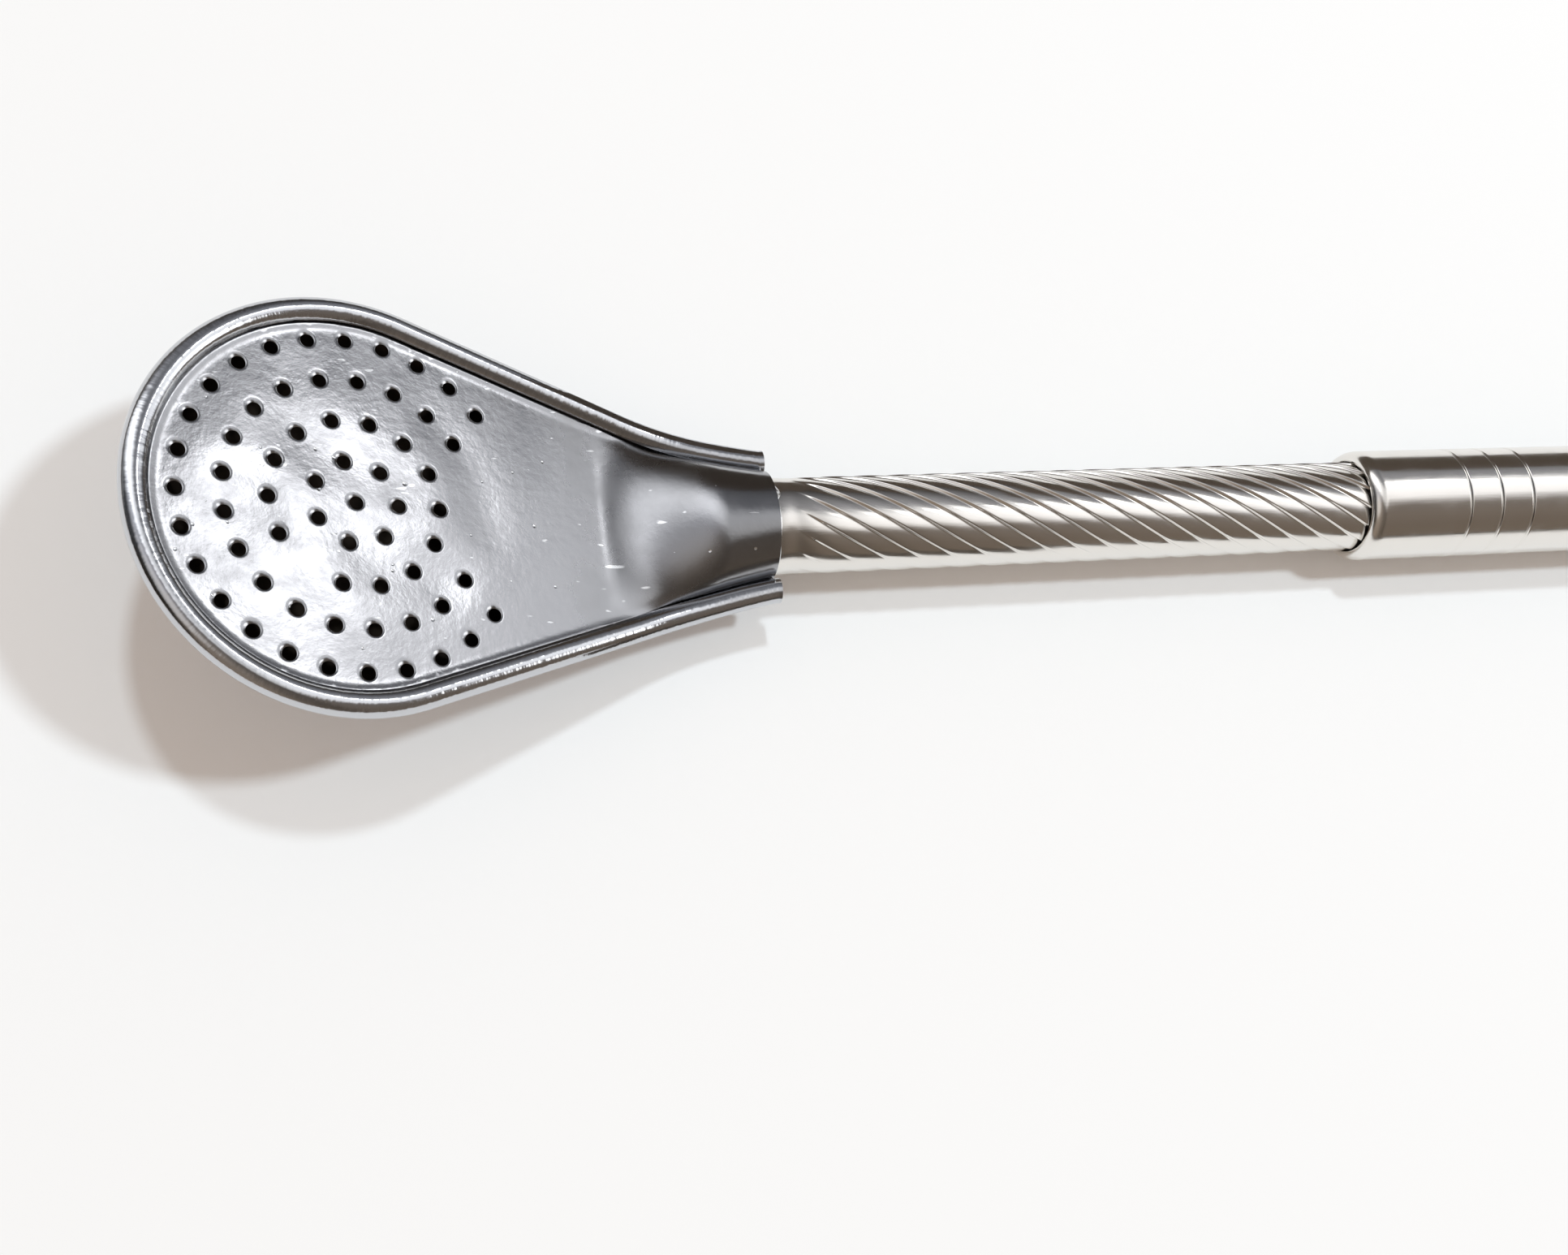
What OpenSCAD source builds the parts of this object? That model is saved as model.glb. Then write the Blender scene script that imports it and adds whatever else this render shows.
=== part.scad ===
// Bombilla: a metal straw for mate with a flat perforated filter head, a twisted stem and a plain grip tube.
// The stem's axis runs along +X with the head at -X. The perforated plate faces +Z.

/* [Filter head] */
// Radius of the round end of the head
head_r = 13.05; // [12.6:0.05:15]
// Length of the head along its middle line, from the round end to the neck mouth
head_len = 41; // [39:0.1:48]
// Angle of each straight flank to the middle line
flank_angle = 18; // [16:0.1:20]
// Distance from the centre of the round end to the place where the flanks start to flare
flare_start = 19; // [10:0.5:21]
// Thickness of the stamped sheet
sheet = 0.4; // [0.3:0.01:0.5]
// Outer radius of the rolled rim
bead_r = 0.82; // [0.75:0.01:1]
// How far the rolled rim closes, measured from its crest towards the plate
bead_lip_angle = 68; // [50:1:75]
// Gap between the plate and the shelf under it inside the rolled rim
seam_gap = 0.05; // [0.02:0.01:0.1]
// Gap between the rim's lip and the neck's half tube
lip_gap = 0.06; // [0.03:0.01:0.15]
// Length by which the rolled rim stands past the neck mouth
ear_past = 0.3; // [0.1:0.05:0.5]
// Depth of the bowl below the stem's axis plane
bowl_depth = 5.3; // [4.6:0.05:5.3]

/* [Neck] */
// Length of neck that stays a straight round tube
neck_straight = 3.3; // [3.2:0.1:6]
// Length over which the neck's tube fades into the flat plate and the bowl
funnel_len = 8.5; // [6:0.1:11]
// Angle by which the head is bent up against the stem
bend_angle = 17.5; // [6:0.5:20]
// Length of the bend along the middle line
bend_len = 6.5; // [5:0.1:10]
// Radial gap for solder between the neck and the stem
neck_gap = 0.04; // [0.02:0.01:0.08]
// Length of stem inside the neck
neck_insert = 3; // [2:0.1:3.1]
// Length of the solder fillet along the stem
solder_len = 0.6; // [0.3:0.05:1]

/* [Perforation] */
// Distance from the centre of the round end back to the middle hole
ring_back = 0.4; // [0:0.05:1]
// Diameter of each punched hole
hole_d = 0.95; // [0.7:0.01:1.1]
// Distance between rings of holes
ring_pitch = 2.6; // [2:0.02:2.7]
// Places on the first ring; each later ring has that many more
ring_places = 7; // [5:1:7]
// Number of rings round the middle hole
ring_count = 4; // [2:1:4]
// Half angle, from the round end, over which the third and later rings are punched
punched_half_angle = 147; // [120:1:150]
// Ring and place of the one hole that the punch missed
missed_hole = [2, -2];

/* [Stem] */
// Outside diameter of the stem
stem_d = 6.5; // [6:0.05:7]
// Diameter of the stem's bore
stem_bore_d = 5.4; // [4.8:0.05:5.5]
// Length of stem that shows between the neck and the grip
stem_show = 44.2; // [36:0.1:60]
// Plain length of stem beyond the neck before the twist begins
plain_len = 2.5; // [1.5:0.1:5]
// Number of twisted flutes
flute_count = 14; // [10:1:18]
// Distance between flutes along the stem
flute_pitch = 2.4; // [2:0.05:3]
// Depth of the groove between flutes
flute_depth = 0.14; // [0.1:0.01:0.25]
// Step from the plain tube down to the crests of the twist
crest_step = 0.03; // [0.02:0.01:0.08]
// Length of twist that runs on inside the grip's mouth
twist_hidden = 1.2; // [0.5:0.1:3]
// Length of stem pushed into the grip
spigot_len = 14; // [8:0.5:20]

/* [Grip] */
// Outside diameter of the grip tube
grip_d = 8; // [7.7:0.05:9]
// Length of the grip tube
grip_len = 82; // [60:1:110]
// Radial clearance of the push fit on the stem
push_gap = 0.05; // [0.03:0.01:0.09]
// Length of the rounded lip at the grip's mouth
lip_len = 1.3; // [0.8:0.1:2]
// Width of the flat land left at the end of the lip
lip_land = 0.1; // [0.05:0.01:0.2]
// Distance from the mouth to the first turned groove
groove_first = 8; // [6:0.5:14]
// Distance between turned grooves
groove_step = 2.7; // [2:0.1:4]
// Number of turned grooves
groove_count = 3; // [1:1:5]
// Width of a turned groove
groove_w = 0.5; // [0.3:0.05:0.9]
// Depth of a turned groove
groove_depth = 0.18; // [0.08:0.01:0.3]

/* [Mouthpiece] */
// Length of mouthpiece that shows beyond the grip tube
mouth_len = 20; // [14:1:30]
// Length of the mouthpiece's shank inside the grip tube
shank_len = 9; // [5:0.5:14]
// Radial gap of the shank in the grip tube
shank_gap = 0.02; // [0.01:0.01:0.05]
// Wall of the shank
shank_wall = 0.6; // [0.45:0.05:0.7]
// Width of the flattened end
mouth_w = 7.8; // [7:0.1:8]
// Thickness of the flattened end
mouth_t = 4; // [3.6:0.1:5]
// Wall of the flattened end
mouth_wall = 0.8; // [0.75:0.05:1]
// Radius of the rounded edge at the lips
mouth_round = 0.5; // [0.2:0.05:0.55]

/* [Hidden] */

steel = "#b9bcc0";
dark_steel = "#a3a6aa";
solder_grey = "#cfd2d4";
$fn = 72;

// Radii of the neck and the tubes
stem_r = stem_d / 2;
neck_in_r = stem_r + neck_gap;
neck_out_r = neck_in_r + sheet;
grip_r = grip_d / 2;
grip_in_r = stem_r + push_gap;

// Heights in the head's own frame: the plate is centred on the stem's axis plane
plate_half = sheet / 2;
shelf_top = plate_half + seam_gap;
shelf_bottom = shelf_top + sheet;
bead_mid = bead_r - shelf_bottom;

// Outline of the head: u runs from the neck mouth to the round end, y across
round_u = head_len - head_r;
slope = tan(flank_angle);
tangent_u = round_u - head_r * sin(flank_angle);
flare_u = round_u - flare_start;
flare_y = head_r * cos(flank_angle) - (tangent_u - flare_u) * slope;
rim_w = bead_r * (1 + sin(bead_lip_angle)) + lip_gap;
ear_half = foot_y(neck_out_r, plate_half) + rim_w;
flare_rate = (ear_half - flare_y + slope * flare_u) / pow(flare_u, 2);

// Stations along the outline, points across each half, and the hollow left at the last chord
neck_stations = 18;
arc_stations = 14;
chord_steps = 8;
bead_steps = 10;
last_chord_sag = 0.05;

// Lengths along the stem's axis, measured from the neck mouth
grip_from = stem_show;
grip_to = grip_from + grip_len;
mouth_to = grip_to + mouth_len;
twist_to = stem_show + twist_hidden;
spigot_to = stem_show + spigot_len;
head_reach = -on_head(head_len - bead_r, 0, bead_mid)[0] + bead_r;
middle_x = (mouth_to - head_reach) / 2;

// A cut runs this far past the faces it goes through
past = 1;

function mix(a, b, t) = a + (b - a) * t;
function clamp01(t) = min(max(t, 0), 1);
function ease(t) = clamp01(t) * clamp01(t) * (3 - 2 * clamp01(t));
function foot_y(r, height) = sqrt(r * r - height * height);

// Middle line of the bent head, its tilt and the place of a point at (u, y) and height n above it
function tilt(u) = bend_angle * clamp01((u - neck_straight) / bend_len);
function bend_r() = bend_len / (bend_angle * PI / 180);
function after_bend(u) = max(u - neck_straight - bend_len, 0);
function run(u) = min(u, neck_straight) + bend_r() * sin(tilt(u)) + after_bend(u) * cos(bend_angle);
function lift(u) = bend_r() * (1 - cos(tilt(u))) + after_bend(u) * sin(bend_angle);
function on_head(u, y, n) = [n * sin(tilt(u)) - run(u), y, lift(u) + n * cos(tilt(u))];

// Half width of the outline and its slope at a place u before the round end
function flank_y(u) = u >= flare_u
    ? flare_y + (u - flare_u) * slope
    : flare_y - slope * (flare_u - u) + flare_rate * pow(flare_u - u, 2);
function flank_slope(u) = u >= flare_u ? slope : slope - 2 * flare_rate * (flare_u - u);

// A station is [u, y, inward u, inward y]: a place on the outline and the way into the head
function neck_station(u) = let(m = flank_slope(u) * ease(u / neck_straight), l = sqrt(1 + m * m))
    [u, flank_y(u), m / l, -1 / l];
function arc_station(a) = [round_u + head_r * cos(a), head_r * sin(a), -cos(a), -sin(a)];
// The last arc station stops half a step short of the tip
arc_step = (90 + flank_angle) / (arc_stations + 0.5);
stations = [
    for (i = [0 : neck_stations]) neck_station(tangent_u * i / neck_stations),
    for (i = [1 : arc_stations]) arc_station(90 + flank_angle - i * arc_step)
];

// Share of the round neck at a place u: 1 in the straight neck and 0 in the head
function neck_share(u) = 1 - ease((u - neck_straight) / funnel_len);

// Height of a face at a place (u, y) whose foot is at (u, foot).
// The neck's circle fades into a flat or a bowl.
function face_height(u, y, foot, r, base, depth, flat) =
    let(k = neck_share(u),
        centre_u = max(u - round_u, 0),
        rho = norm([centre_u, y]) / norm([centre_u, foot]),
        s0 = max(base, 0) / r,
        s = sqrt(max(1 - rho * rho * (1 - s0 * s0), 0)),
        rise = clamp01((s - s0) / (1 - s0)),
        low = mix(base, max(base, 0), k),
        top = mix(depth, r, k))
    low + (top - low) * (flat ? pow(rise, 2 - k) : rise);

// Half of a face at a station: rim points [d, n, stands past the mouth] measured in from the outline,
// then a chord to the middle line
function half_face(st, rim, r, base, depth, flat, up) =
    let(d0 = ear_half - foot_y(r, max(base, 0)),
        foot_u = st[0] + st[2] * d0,
        foot = st[1] + st[3] * d0,
        sag = st == stations[len(stations) - 1] ? last_chord_sag : 0)
    concat(
        [for (p = rim)
            let(out = st[0] == 0 && p[2] ? ear_past : 0)
            on_head(st[0] + st[2] * p[0] - out, st[1] + st[3] * p[0], p[1])],
        [for (j = [0 : chord_steps])
            let(y = foot * cos(90 * j / chord_steps),
                u = foot_u - sag * (1 - pow(y / foot, 2)))
            on_head(u, y, up * face_height(foot_u, y, foot, r, base, depth, flat))]
    );

function flip_y(p) = [p[0], -p[1], p[2]];
function whole_face(half) = concat(half, [for (j = [len(half) - 2 : -1 : 0]) flip_y(half[j])]);
function reversed(list) = [for (j = [len(list) - 1 : -1 : 0]) list[j]];
function quad(a, b, c, d) = [[a, b, c], [a, c, d]];
function flat_list(lists) = [for (l = lists) each l];

// A stamped sheet: a low and a high face at each station, closed at the neck mouth and at its other end.
// Round a tip the two halves of the last station are joined to each other.
module sheet_solid(low, high, round_tip) {
    half = len(low[0]);
    wide = 2 * half - 1;
    loop = 2 * wide;
    last = (len(low) - 1) * loop;
    points = flat_list([for (i = [0 : len(low) - 1])
        concat(whole_face(low[i]), reversed(whole_face(high[i])))]);
    sides = flat_list([for (i = [0 : len(low) - 2], j = [0 : loop - 1])
        quad(i * loop + j, i * loop + (j + 1) % loop, (i + 1) * loop + (j + 1) % loop, (i + 1) * loop + j)]);
    mouth = flat_list([for (j = [0 : wide - 2]) quad(j, loop - 1 - j, loop - 2 - j, j + 1)]);
    zip = flat_list([for (j = [0 : half - 2])
        concat(
            j == half - 2 ? [[j, j + 1, wide - 1 - j]] : quad(j, j + 1, wide - 2 - j, wide - 1 - j),
            j == half - 2
                ? [[loop - 1 - j, wide + j, loop - 2 - j]]
                : quad(loop - 1 - j, wide + j, wide + j + 1, loop - 2 - j))]);
    lip = quad(0, wide - 1, wide, loop - 1);
    flat_end = [for (t = mouth) reversed(t)];
    end = [for (t = round_tip ? concat(zip, lip) : flat_end) [for (v = t) last + v]];
    polyhedron(points, [for (t = concat(sides, mouth, end)) reversed(t)], convexity = 10);
}

// Ring k of the perforation: even places on even rings, half a step turned on odd ones
function ring_step(k) = 360 / (ring_places * k);
function place_angle(k, p) = ring_step(k) * (p + (k % 2) / 2);
function is_punched(k, p) = k <= 2 || abs(place_angle(k, p)) <= punched_half_angle;

module punch(u, y) {
    translate(on_head(u, y, 0))
        rotate([0, tilt(u), 0])
            cylinder(d = hole_d, h = sheet + 2 * past, center = true);
}

module perforation() {
    ring_u = round_u - ring_back;
    punch(ring_u, 0);
    for (k = [1 : ring_count])
        for (p = [-floor(ring_places * k / 2) : ceil(ring_places * k / 2) - 1])
            if (is_punched(k, p) && [k, p] != missed_hole) {
                a = place_angle(k, p);
                punch(ring_u + k * ring_pitch * cos(a), k * ring_pitch * sin(a));
            }
}

// Stands the part on the floor with its middle over the origin
module place() {
    translate([-middle_x, 0, grip_r]) children();
}

// Turns a solid made along +Z so that it runs along the stem
module along_stem(from) {
    translate([from, 0, 0]) rotate([0, 90, 0]) children();
}

// The plate is flat from here to the round end, and its edge ends inside the rolled rim
flat_from = neck_straight + max(funnel_len, bend_len);
half_plate = concat(
    [[flat_from, flank_y(flat_from) - bead_r]],
    [for (st = stations) if (st[0] > flat_from) [st[0] + st[2] * bead_r, st[1] + st[3] * bead_r]]);
plate_outline = concat(half_plate, reversed([for (p = half_plate) [p[0], -p[1]]]));

module flat_plate() {
    translate(on_head(flat_from, 0, -plate_half))
        rotate([0, bend_angle, 0])
            mirror([1, 0, 0])
                linear_extrude(sheet)
                    translate([-flat_from, 0])
                        polygon(plate_outline);
}

// The half tube, which spreads into the plate. Its flange is a hair thinner than the plate and ends inside it.
plate_rows = 12;
flange_step = 0.01;
flange_lap = 0.5;
module plate_neck() {
    flange_half = plate_half - flange_step;
    edge_in = bead_r + flange_step;
    rows = [for (i = [0 : plate_rows])
        let(u = (flat_from + flange_lap) * i / plate_rows)
        [u, flank_y(u), 0, -1]];
    top = [for (st = rows)
        half_face(st, [[edge_in, flange_half, false]], neck_out_r, flange_half, flange_half, true, 1)];
    below = [for (st = rows)
        half_face(st, [[edge_in, -flange_half, false]], neck_in_r, -flange_half, -flange_half, true, 1)];
    sheet_solid(below, top, false);
}

module front_filter_plate() {
    color(steel)
        place() {
            plate_neck();
            difference() {
                flat_plate();
                perforation();
            }
        }
}

// Points of the rolled rim at radius r, from its lip over the crest to the shelf
function bead_points(r) = [for (j = [0 : bead_steps])
    let(a = mix(bead_lip_angle, -180, j / bead_steps))
    [bead_r + r * sin(a), bead_mid + r * cos(a), j < bead_steps]];

module back_filter_bowl() {
    bowl_in = bowl_depth - sheet;
    outer = [for (st = stations)
        half_face(st, bead_points(bead_r), neck_out_r, shelf_bottom, bowl_depth, false, -1)];
    inner = [for (st = stations)
        half_face(st, bead_points(bead_r - sheet), neck_in_r, shelf_top, bowl_in, false, -1)];
    color(dark_steel)
        place()
            sheet_solid(outer, inner, true);
}

// Cross-section of the twisted stem: round lobes with a sharp groove between them
lobe_points = 4;
function lobe_r(a) = stem_r - crest_step - flute_depth * pow(1 - abs(sin(flute_count * a / 2)), 2);
flute_outline = [for (i = [0 : flute_count * lobe_points - 1])
    let(a = 360 * i / (flute_count * lobe_points))
    lobe_r(a) * [cos(a), sin(a)]];
flute_lead = flute_count * flute_pitch;
twist_slice = 1.3;

module stem_tube() {
    // The twist runs this far into the plain tube at each of its ends
    twist_lap = 0.5;
    twist_len = twist_to - plain_len + 2 * twist_lap;
    color(steel)
        place()
            difference() {
                union() {
                    along_stem(-neck_insert) cylinder(r = stem_r, h = neck_insert + plain_len);
                    along_stem(plain_len - twist_lap)
                        linear_extrude(
                            height = twist_len,
                            twist = -360 * twist_len / flute_lead,
                            slices = ceil(twist_len / twist_slice))
                            polygon(flute_outline);
                    along_stem(twist_to) cylinder(r = stem_r, h = spigot_to - twist_to);
                }
                along_stem(-neck_insert - past)
                    cylinder(d = stem_bore_d, h = neck_insert + spigot_to + 2 * past);
            }
}

// A hollow fillet that lies against the neck's end and round the stem
solder_steps = 6;
module neck_solder() {
    solder_in_r = stem_r + neck_gap / 2;
    solder_w = neck_out_r - solder_in_r;
    color(solder_grey)
        place()
            along_stem(0)
                rotate_extrude()
                    polygon(concat(
                        [[solder_in_r, 0]],
                        [for (j = [0 : solder_steps])
                            let(a = 90 * j / solder_steps)
                            [neck_out_r - solder_w * sin(a), solder_len * (1 - cos(a))]]));
}

// Outside of the grip tube as [radius, length] points: a rounded lip, then a notch for each groove
lip_steps = 8;
lip_depth = grip_r - grip_in_r - lip_land;
function lip_profile() = [for (j = [0 : lip_steps])
    [grip_r - lip_depth * (1 - sin(90 * j / lip_steps)), lip_len * (1 - cos(90 * j / lip_steps))]];
function groove_profile() = [for (g = [0 : groove_count - 1])
    let(at = groove_first + g * groove_step)
    each [
        [grip_r, at - groove_w / 2],
        [grip_r - groove_depth, at - groove_w / 4],
        [grip_r - groove_depth, at + groove_w / 4],
        [grip_r, at + groove_w / 2]
    ]];

module grip_tube() {
    color(steel)
        place()
            along_stem(grip_from)
                rotate_extrude()
                    polygon(concat(
                        [[grip_in_r, 0]],
                        lip_profile(),
                        groove_profile(),
                        [[grip_r, grip_len], [grip_in_r, grip_len]]));
}

// Ring of an oval at height z; the oval's first axis lies across the head and its second upwards
oval_points = 32;
function oval(half_w, half_t, z) = [for (i = [0 : oval_points - 1])
    let(a = 360 * i / oval_points)
    [half_t * cos(a), half_w * sin(a), z]];

// A solid through a list of ovals
module oval_loft(rings) {
    n = oval_points;
    count = len(rings);
    sides = flat_list([for (i = [0 : count - 2], j = [0 : n - 1])
        quad(i * n + j, (i + 1) * n + j, (i + 1) * n + (j + 1) % n, i * n + (j + 1) % n)]);
    low = [for (j = [1 : n - 2]) [0, j, j + 1]];
    high = [for (j = [1 : n - 2]) [(count - 1) * n, (count - 1) * n + j + 1, (count - 1) * n + j]];
    polyhedron(flat_list(rings), concat(sides, low, high), convexity = 4);
}

// The body flattens along an eased curve, and its last stretch is rounded over
mouth_steps = 10;
round_steps = 5;
function mouth_ring(z, inset) = let(t = ease(z / mouth_len))
    oval(mix(grip_r, mouth_w / 2, t) - inset, mix(grip_r, mouth_t / 2, t) - inset, z);
mouth_body = concat(
    [for (j = [0 : mouth_steps]) mouth_ring((mouth_len - mouth_round) * j / mouth_steps, 0)],
    [for (j = [1 : round_steps])
        let(a = 90 * j / round_steps)
        mouth_ring(mouth_len - mouth_round * (1 - sin(a)), mouth_round * (1 - cos(a)))]);

module mouthpiece() {
    shank_r = grip_in_r - shank_gap;
    bore_r = shank_r - shank_wall;
    slot_r = shank_r - mouth_wall;
    slot_w = mouth_w / 2 - mouth_wall;
    slot_t = mouth_t / 2 - mouth_wall;
    slot = [for (j = [0 : mouth_steps])
        let(t = j / mouth_steps, z = mix(-past, mouth_len + past, t))
        oval(mix(slot_r, slot_w, ease(t)), mix(slot_r, slot_t, ease(t)), z)];
    color(steel)
        place()
            along_stem(grip_to)
                difference() {
                    union() {
                        translate([0, 0, -shank_len]) cylinder(r = shank_r, h = shank_len + past);
                        oval_loft(mouth_body);
                    }
                    translate([0, 0, -shank_len - past]) cylinder(r = bore_r, h = shank_len + past);
                    oval_loft(slot);
                }
}

front_filter_plate();
back_filter_bowl();
stem_tube();
neck_solder();
grip_tube();
mouthpiece();
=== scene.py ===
"""Looks of a metal mate straw with a perforated filter head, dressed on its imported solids.

Every solid is made again as a fine surface from the same sizes. Lengths are millimetres in the straw's own
frame: the stem's axis runs along +X from the neck mouth, the head lies at -X, and its perforated plate faces
+Z. On the head, u runs along the bent middle line from the neck mouth to the round tip, y across it and n out
of it.
"""

import bmesh
import bpy
import numpy as np
from mathutils import Matrix, Vector
from mathutils.geometry import delaunay_2d_cdt


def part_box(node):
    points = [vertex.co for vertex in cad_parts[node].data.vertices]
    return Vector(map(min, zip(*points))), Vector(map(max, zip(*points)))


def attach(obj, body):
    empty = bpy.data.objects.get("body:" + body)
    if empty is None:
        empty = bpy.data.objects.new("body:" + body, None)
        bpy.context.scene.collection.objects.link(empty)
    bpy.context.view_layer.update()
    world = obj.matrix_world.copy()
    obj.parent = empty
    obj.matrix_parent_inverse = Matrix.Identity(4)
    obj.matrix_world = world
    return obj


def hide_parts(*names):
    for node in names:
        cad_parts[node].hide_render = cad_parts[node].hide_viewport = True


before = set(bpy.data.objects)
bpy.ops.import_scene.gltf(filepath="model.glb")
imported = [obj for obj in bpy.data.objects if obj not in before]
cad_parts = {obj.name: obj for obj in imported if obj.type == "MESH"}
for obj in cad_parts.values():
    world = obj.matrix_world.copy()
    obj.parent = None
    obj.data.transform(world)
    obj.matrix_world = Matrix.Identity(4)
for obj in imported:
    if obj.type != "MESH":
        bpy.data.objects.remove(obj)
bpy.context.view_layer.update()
rng = np.random.default_rng(11)
MM = 0.001


# Places and tube sizes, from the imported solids

def box_mm(node):
    """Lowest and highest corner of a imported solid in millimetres."""
    return [np.array(corner) * 1000 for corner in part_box(node)]


grip_low, grip_high = box_mm("grip_tube")
stem_low, stem_high = box_mm("stem_tube")
NECK_X = box_mm("neck_solder")[0][0]
AXIS_Z = (grip_low[2] + grip_high[2]) / 2
GRIP_R = (grip_high[1] - grip_low[1]) / 2
STEM_R = (stem_high[1] - stem_low[1]) / 2
STEM_FROM, STEM_TO = stem_low[0] - NECK_X, stem_high[0] - NECK_X
GRIP_FROM, GRIP_TO = grip_low[0] - NECK_X, grip_high[0] - NECK_X
MOUTH_TO = box_mm("mouthpiece")[1][0] - NECK_X

# Sizes of the stamped head, as its solids have them
HEAD_R = 13.05
HEAD_LEN = 41.0
FLANK = np.radians(18)
FLARE_START = 19.0
SHEET = 0.4
BEAD_R = 0.82
LIP_ANGLE = np.radians(68)
SEAM_GAP = 0.05
LIP_GAP = 0.06
EAR_PAST = 0.3
BOWL_DEPTH = 5.3
NECK_STRAIGHT = 3.3
FUNNEL_LEN = 8.5
BEND = np.radians(17.5)
BEND_LEN = 6.5
NECK_GAP = 0.04
RING_BACK = 0.4
HOLE_R = 0.475
RING_PITCH = 2.6
RING_PLACES = 7
RING_COUNT = 4
PUNCHED = np.radians(147)
MISSED = (2, -2)

# Sizes of the stem, the grip and the mouthpiece
STEM_BORE_R = 2.7
PLAIN_LEN = 2.5
TWIST_TO = GRIP_FROM + 1.2
FLUTES = 14
FLUTE_LEAD = FLUTES * 2.4
FLUTE_DEPTH = 0.15
FLUTE_STEP = 0.13
FLUTE_BEGIN = PLAIN_LEN - 1.2
FLUTE_FADE_IN = 2.6
FLUTE_FADE_OUT = 0.8
TWIST_END = TWIST_TO + 1.2
WAIST = 0.07
WAIST_FROM = 0.2
WAIST_OVER = 1.3
CRESTS_OUT = 0.6 * WAIST
SOLDER_LEN = 0.6
SOLDER_REACH = 0.16
SOLDER_RIPPLE = 0.03
SOLDER_IN_R = STEM_R + 0.01
SOLDER_UNDER = 0.05
BLOB_WIDTH = 0.09
BLOB_BULGE = 0.45
GRIP_IN_R = STEM_R + 0.05
END_ROUND = 0.12
LIP_LEN = 1.0
LIP_LAND = 0.1
GROOVES = GRIP_FROM + 8 + 2.7 * np.arange(3)
GROOVE_W = 0.3
GROOVE_DEPTH = 0.14
SHANK_R = GRIP_IN_R - 0.02
SHANK_LEN = 9.0
SHANK_WALL = 0.6
MOUTH_HALF_W = 3.9
MOUTH_HALF_T = 2.0
MOUTH_WALL = 0.8
MOUTH_ROUND = 0.5

# Derived places on the head
NECK_IN_R = STEM_R + NECK_GAP
NECK_OUT_R = NECK_IN_R + SHEET
PLATE_HALF = SHEET / 2
SHELF_BOTTOM = PLATE_HALF + SEAM_GAP + SHEET
BEAD_MID = BEAD_R - SHELF_BOTTOM
RIM_W = BEAD_R * (1 + np.sin(LIP_ANGLE)) + LIP_GAP
ROUND_U = HEAD_LEN - HEAD_R
SLOPE = np.tan(FLANK)
TANGENT_U = ROUND_U - HEAD_R * np.sin(FLANK)
FLARE_U = ROUND_U - FLARE_START
FLARE_Y = HEAD_R * np.cos(FLANK) - (TANGENT_U - FLARE_U) * SLOPE
EAR_HALF = np.sqrt(NECK_OUT_R**2 - PLATE_HALF**2) + RIM_W
FLARE_RATE = (EAR_HALF - FLARE_Y + SLOPE * FLARE_U) / FLARE_U**2
FLAT_FROM = NECK_STRAIGHT + max(FUNNEL_LEN, BEND_LEN)


def ease(t):
    """Smooth step from 0 to 1: 3t^2 - 2t^3."""
    t = np.clip(t, 0, 1)
    return t * t * (3 - 2 * t)


def mix(a, b, t):
    """Straight blend from a to b."""
    return a + (b - a) * t


def on_head(u, y, n):
    """Point (u, y, n) of the head in the straw's frame: a straight neck, an arc of BEND, a straight head."""
    u, y, n = np.broadcast_arrays(np.asarray(u, float), y, n)
    tilt = BEND * np.clip((u - NECK_STRAIGHT) / BEND_LEN, 0, 1)
    bend_r = BEND_LEN / BEND
    after = np.maximum(u - NECK_STRAIGHT - BEND_LEN, 0)
    run = np.minimum(u, NECK_STRAIGHT) + bend_r * np.sin(tilt) + after * np.cos(BEND)
    lift = bend_r * (1 - np.cos(tilt)) + after * np.sin(BEND)
    return np.stack([n * np.sin(tilt) - run, y, lift + n * np.cos(tilt)], -1)


def flank_y(u):
    """Half width of the outline before the round end: a straight flank, and a parabola out to the ear."""
    before = np.maximum(FLARE_U - u, 0)
    return FLARE_Y + (u - FLARE_U) * SLOPE + FLARE_RATE * before**2


def flank_slope(u):
    """Slope of flank_y."""
    return SLOPE - 2 * FLARE_RATE * np.maximum(FLARE_U - u, 0)


def edge_distance(u, y):
    """Distance in from the outline: to the arc round the tip, or square to the flank before it."""
    arc = HEAD_R - np.hypot(u - ROUND_U, y)
    flank = (flank_y(u) - np.abs(y)) / np.hypot(1, flank_slope(u))
    on_arc = np.arctan2(np.abs(y), u - ROUND_U) <= np.pi / 2 + FLANK
    return np.where(on_arc, arc, flank)


def neck_share(u):
    """1 in the round neck, easing to 0 where the head is flat."""
    return 1 - ease((u - NECK_STRAIGHT) / FUNNEL_LEN)


def dome_height(u, rho, r, base, depth, flat):
    """Height over the middle line at the share rho of the half width.

    The circle of radius r at the neck fades to a flat sheet or to a bowl of that depth.
    """
    k = neck_share(u)
    s0 = base / r
    s = np.sqrt(np.maximum(1 - rho**2 * (1 - s0**2), 0))
    rise = np.clip((s - s0) / (1 - s0), 0, 1)
    top = mix(depth, r, k)
    return base + (top - base) * rise ** (2 - k if flat else 1)


# Meshes

def to_row(points):
    """Straw frame in millimetres to the row frame in metres."""
    return (np.asarray(points) + [NECK_X, 0, AXIS_Z]) * MM


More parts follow.
